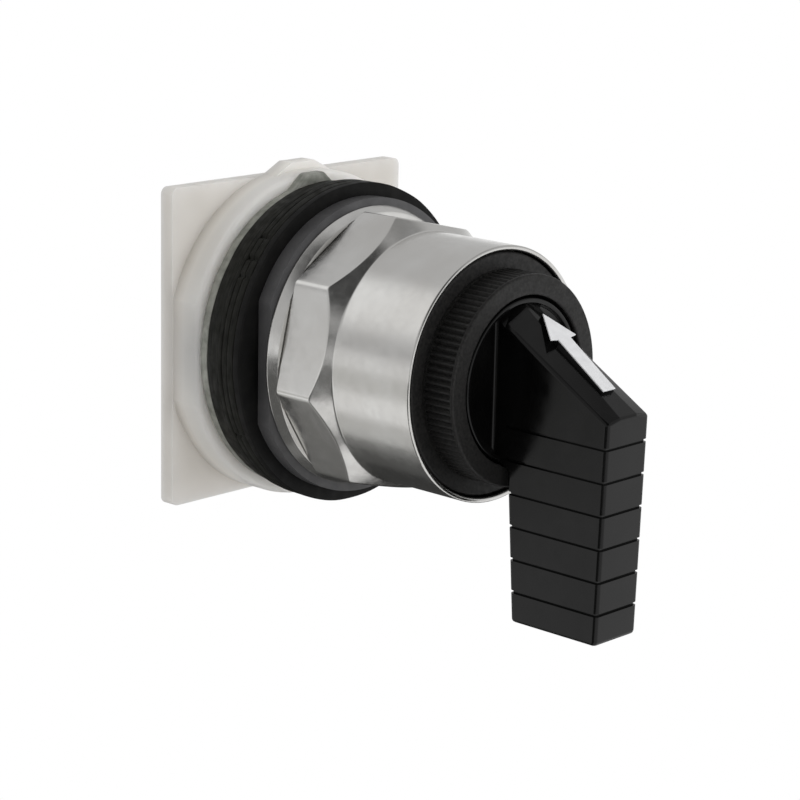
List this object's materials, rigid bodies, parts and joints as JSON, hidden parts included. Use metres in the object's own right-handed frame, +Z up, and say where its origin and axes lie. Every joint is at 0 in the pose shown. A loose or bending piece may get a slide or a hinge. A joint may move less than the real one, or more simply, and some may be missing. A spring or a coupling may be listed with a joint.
{
  "type": "selector switch head",
  "caption": "Panel-mounted selector switch head: a long lever knob turns a cam that drives plungers behind a square base plate.",
  "frame": {"origin": "on the operator axis, in the plane where the panel rests on the front face of the locating washer", "axes": "-Y is forward, out of the panel towards the user; +Y is behind the panel; +Z is up, towards the locating tab; +X is right seen from the front"},
  "size_m": [0.0445, 0.0649, 0.0556],
  "materials": {
    "plate_moulding": "natural nylon moulding, slightly translucent",
    "cast_neck": "die-cast zinc with a dark coating",
    "zinc_screw": "zinc-plated steel",
    "galvanised": "galvanised sheet steel",
    "gasket_rubber": "moulded nitrile rubber",
    "grey_washer": "grey moulded washer",
    "satin_chrome": "satin chrome over die-cast zinc",
    "black_ring": "black glass-filled nylon",
    "knob_moulding": "black moulding, glossy sides",
    "white_insert": "white indicator insert",
    "steel": "turned steel",
    "acetal": "natural acetal",
    "seal_rubber": "nitrile rubber",
    "spring_steel": "spring steel"
  },
  "bodies": {
    "housing": {"base_plate": "plate_moulding", "base_screws": "zinc_screw", "bezel_ring": "black_ring", "detent_spring": "spring_steel", "front_gasket": "gasket_rubber", "locating_washer": "galvanised", "neck_bushing": "cast_neck", "panel_gasket": "gasket_rubber", "plunger_guide": "plate_moulding", "return_spring_left": "spring_steel", "return_spring_right": "spring_steel", "ring_nut": "satin_chrome", "shaft_seal": "seal_rubber", "spacer_gasket_1": "gasket_rubber", "spacer_gasket_2": "gasket_rubber", "spacer_gasket_3": "gasket_rubber", "thrust_washer": "acetal", "trim_washer": "grey_washer"},
    "knob": {"knob": "knob_moulding", "arrow_insert": "white_insert", "operator_shaft": "steel", "knob_screw": "zinc_screw", "cam_hub": "acetal", "retaining_clip": "spring_steel"},
    "plunger_left": {"plunger_left": "acetal"},
    "plunger_right": {"plunger_right": "acetal"}
  },
  "joints": [
    {"name": "knob_turn", "type": "hinge", "parent": "housing", "child": "knob", "pos_m": [0, 0, 0], "axis": [0, 1, 0], "range_deg": [-45, 45], "deforming": ["detent_spring"]},
    {"name": "plunger_left_slide", "type": "slide", "parent": "housing", "child": "plunger_left", "axis": [0, 1, 0], "range_m": [-0.002, 0.002], "deforming": ["return_spring_left"]},
    {"name": "plunger_right_slide", "type": "slide", "parent": "housing", "child": "plunger_right", "axis": [0, 1, 0], "range_m": [-0.002, 0.002], "deforming": ["return_spring_right"]}
  ],
  "couplings": [
    {"joint": "plunger_left_slide", "follows": "knob_turn", "m_per_rad": -0.002546},
    {"joint": "plunger_right_slide", "follows": "knob_turn", "m_per_rad": 0.002546}
  ]
}
